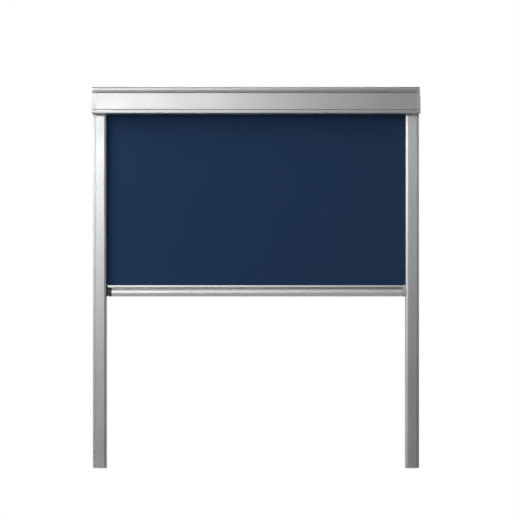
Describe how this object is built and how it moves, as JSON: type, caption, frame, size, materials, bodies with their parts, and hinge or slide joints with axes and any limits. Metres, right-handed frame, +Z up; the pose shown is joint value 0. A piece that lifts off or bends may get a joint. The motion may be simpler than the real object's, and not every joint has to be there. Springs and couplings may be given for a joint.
{
  "type": "skylight window blind",
  "caption": "Roller blind for a roof window: aluminium header with a spring roller, cloth held at its edges in side channels, and a bottom bar that stays where it is left.",
  "frame": {"origin": "centre of the header's flat back face, where it lies on the window frame", "axes": "+X to the right across the window as seen from the room, +Y out of the room through the window, +Z up the window towards the header's top"},
  "size_m": [0.66, 0.0497, 0.7687],
  "materials": {
    "anodised_aluminium": "satin anodised extrusion",
    "painted_caps": "silver paint to match the extrusions",
    "blackout_cloth": "navy woven blackout cloth, silver-coated on the window side",
    "charcoal_plastic": "fine moulded grain",
    "grey_plastic": "fine moulded grain",
    "white_plastic": "satin",
    "zinc_steel": "zinc plated",
    "spring_steel": "oiled wire",
    "bronze": "sintered bearing bronze",
    "foam_tape": "closed-cell foam",
    "brake_rubber": "matt"
  },
  "bodies": {
    "frame": {"header_casing": "anodised_aluminium", "header_back_rail": "anodised_aluminium", "left_end_cap": "painted_caps", "right_end_cap": "painted_caps", "left_cap_screw_lower": "zinc_steel", "left_cap_screw_upper": "zinc_steel", "right_cap_screw_lower": "zinc_steel", "right_cap_screw_upper": "zinc_steel", "left_bracket": "zinc_steel", "right_bracket": "zinc_steel", "bearing_bush": "bronze", "spring_arbor": "white_plastic", "left_channel": "anodised_aluminium", "right_channel": "anodised_aluminium", "left_channel_foot": "grey_plastic", "right_channel_foot": "grey_plastic", "left_channel_tape": "foam_tape", "right_channel_tape": "foam_tape"},
    "roller": {"roller_tube": "anodised_aluminium", "tube_spline": "white_plastic", "cloth_roll": "blackout_cloth", "spring_end_plug": "grey_plastic", "idle_end_plug": "grey_plastic", "idle_pin": "zinc_steel", "roller_spring": "spring_steel", "drive_hub": "white_plastic"},
    "bar": {"bottom_bar": "anodised_aluminium", "hem_rod": "white_plastic", "left_bar_end": "charcoal_plastic", "right_bar_end": "grey_plastic", "left_brake_shoe": "brake_rubber", "right_brake_shoe": "brake_rubber", "left_brake_spring": "spring_steel", "right_brake_spring": "spring_steel", "cloth_panel": "blackout_cloth"}
  },
  "joints": [
    {"name": "bar_travel", "type": "slide", "parent": "frame", "child": "bar", "axis": [0, 0, 1], "range_m": [-0.336, 0.344], "deforming": ["cloth_panel"]},
    {"name": "roller_spin", "type": "hinge", "parent": "frame", "child": "roller", "pos_m": [0, -0.0267, 0], "axis": [1, 0, 0], "range_deg": [-1250, 1280]}
  ],
  "couplings": [
    {"joint": "roller_spin", "follows": "bar_travel", "rad_per_m": 64.05}
  ]
}
